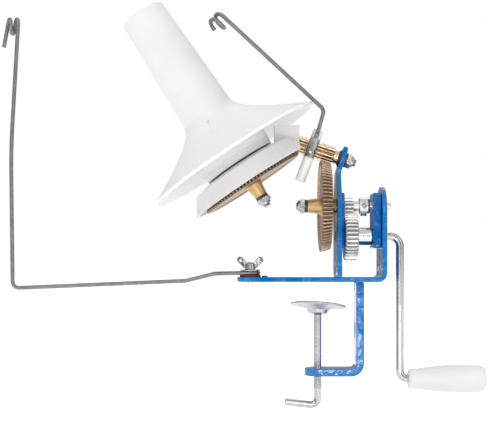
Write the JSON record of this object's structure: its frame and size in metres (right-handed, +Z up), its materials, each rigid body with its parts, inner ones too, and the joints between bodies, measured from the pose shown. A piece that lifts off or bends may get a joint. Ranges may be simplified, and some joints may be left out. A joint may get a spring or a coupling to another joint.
{
  "type": "yarn ball winder",
  "caption": "Hand-cranked yarn ball winder with a table clamp, exposed gear train, slanted flared winding cone and bent wire yarn guides.",
  "frame": {"origin": "underside of the base bar, on the axis of the clamp screw", "axes": "+Z up from the table, +X from the yarn arm towards the crank, +Y away from the side that the picture shows"},
  "size_m": [0.3687, 0.1408, 0.3078],
  "materials": {
    "blue_paint": "gloss enamel",
    "bearing_bronze": "turned",
    "crank_steel": "bright zinc plate",
    "chrome": "bright plate",
    "gear_steel": "hobbed, bright",
    "grip_plastic": "satin gloss",
    "shaft_steel": "ground",
    "zinc_fasteners": "zinc plate",
    "dark_washer": "blackened",
    "gear_bronze": "cast, dull",
    "pinion_brass": "bright",
    "white_plastic": "satin moulded",
    "clear_plastic": "clear to milky",
    "sleeve_steel": "turned",
    "guide_wire": "drawn, grey",
    "red_fibre": "vulcanised fibre",
    "clamp_zinc": "dull zinc plate"
  },
  "bodies": {
    "frame": {"base_bar": "blue_paint", "front_upright": "blue_paint", "rear_bearing_block": "blue_paint", "front_bearing_block": "blue_paint", "clamp_arm": "blue_paint", "stop_rivet": "blue_paint", "front_bushes": "bearing_bronze", "rear_bushes": "bearing_bronze", "idler_bolt": "shaft_steel", "idler_washers": "dark_washer", "idler_nut": "zinc_fasteners", "cone_housing": "white_plastic", "spindle_bush": "bearing_bronze", "arm_stud": "shaft_steel", "fibre_washer": "red_fibre"},
    "crank": {"crank_rod": "crank_steel", "drive_gear": "gear_steel", "drive_sleeve": "chrome", "grip_ring": "zinc_fasteners"},
    "grip": {"crank_grip": "grip_plastic"},
    "layshaft": {"layshaft": "shaft_steel", "layshaft_pinion": "gear_steel", "shaft_collar": "chrome", "collar_screws": "zinc_fasteners", "collar_washer": "dark_washer", "front_gear": "gear_bronze", "front_gear_washer": "dark_washer", "front_gear_nut": "zinc_fasteners"},
    "idler": {"idler_pinion": "pinion_brass"},
    "winding_cone": {"spindle": "shaft_steel", "cone_gear": "gear_bronze", "cone_gear_washer": "dark_washer", "cone_gear_nut": "zinc_fasteners", "yarn_cone": "white_plastic", "cone_washer": "zinc_fasteners", "cone_nut": "zinc_fasteners"},
    "holder": {"guide_holder": "clear_plastic", "holder_strap": "zinc_fasteners", "holder_screws": "zinc_fasteners", "holder_sleeve": "sleeve_steel"},
    "guide_wire": {"cone_guide_wire": "guide_wire"},
    "yarn_arm": {"yarn_arm": "guide_wire"},
    "arm_washer": {"arm_washer": "zinc_fasteners"},
    "wing_nut": {"wing_nut": "zinc_fasteners"},
    "pressure_plate": {"pressure_plate": "clamp_zinc"},
    "clamp_screw": {"clamp_screw": "clamp_zinc"}
  },
  "joints": [
    {"name": "crank_turn", "type": "hinge", "parent": "frame", "child": "crank", "pos_m": [0.045, 0, 0.0345], "axis": [1, 0, 0], "continuous": true},
    {"name": "grip_spin", "type": "hinge", "parent": "crank", "child": "grip", "pos_m": [0.09, 0, -0.0737], "axis": [1, 0, 0], "continuous": true},
    {"name": "layshaft_turn", "type": "hinge", "parent": "frame", "child": "layshaft", "pos_m": [0.03, 0, 0.0575], "axis": [1, 0, 0], "continuous": true},
    {"name": "pinion_turn", "type": "hinge", "parent": "frame", "child": "idler", "pos_m": [0.0057, 0, 0.09742], "axis": [0.9511, 0, -0.309], "continuous": true},
    {"name": "cone_turn", "type": "hinge", "parent": "frame", "child": "winding_cone", "pos_m": [-0.08275, 0, 0.12616], "axis": [-0.5476, 0, 0.8368], "continuous": true},
    {"name": "holder_swing", "type": "hinge", "parent": "frame", "child": "holder", "pos_m": [0.0057, 0, 0.09742], "axis": [0.9511, 0, -0.309], "range_deg": [-38, 3]},
    {"name": "wire_slide", "type": "slide", "parent": "holder", "child": "guide_wire", "axis": [0.342, 0, 0.9397], "range_m": [0, 0.025]},
    {"name": "yarn_arm_swing", "type": "hinge", "parent": "frame", "child": "yarn_arm", "pos_m": [-0.0513, 0, 0.0067], "axis": [0, 0, 1], "range_deg": [-110, 110]},
    {"name": "washer_lift", "type": "slide", "parent": "frame", "child": "arm_washer", "axis": [0, 0, 1], "range_m": [0, 0.006]},
    {"name": "wing_nut_turn", "type": "hinge", "parent": "arm_washer", "child": "wing_nut", "pos_m": [-0.0513, 0, 0.012], "axis": [0, 0, 1], "range_deg": [0, 2705]},
    {"name": "plate_lift", "type": "slide", "parent": "frame", "child": "pressure_plate", "axis": [0, 0, 1], "range_m": [-0.036, 0.011]},
    {"name": "clamp_screw_turn", "type": "hinge", "parent": "pressure_plate", "child": "clamp_screw", "pos_m": [0, 0, -0.06], "axis": [0, 0, 1], "range_deg": [-12970, 3970]}
  ],
  "couplings": [
    {"joint": "layshaft_turn", "follows": "crank_turn", "ratio": -3.1818},
    {"joint": "pinion_turn", "follows": "crank_turn", "ratio": 16.818},
    {"joint": "cone_turn", "follows": "crank_turn", "ratio": 2.7378},
    {"joint": "wing_nut_turn", "follows": "washer_lift", "rad_per_m": 7854},
    {"joint": "clamp_screw_turn", "follows": "plate_lift", "rad_per_m": 6283.2}
  ]
}
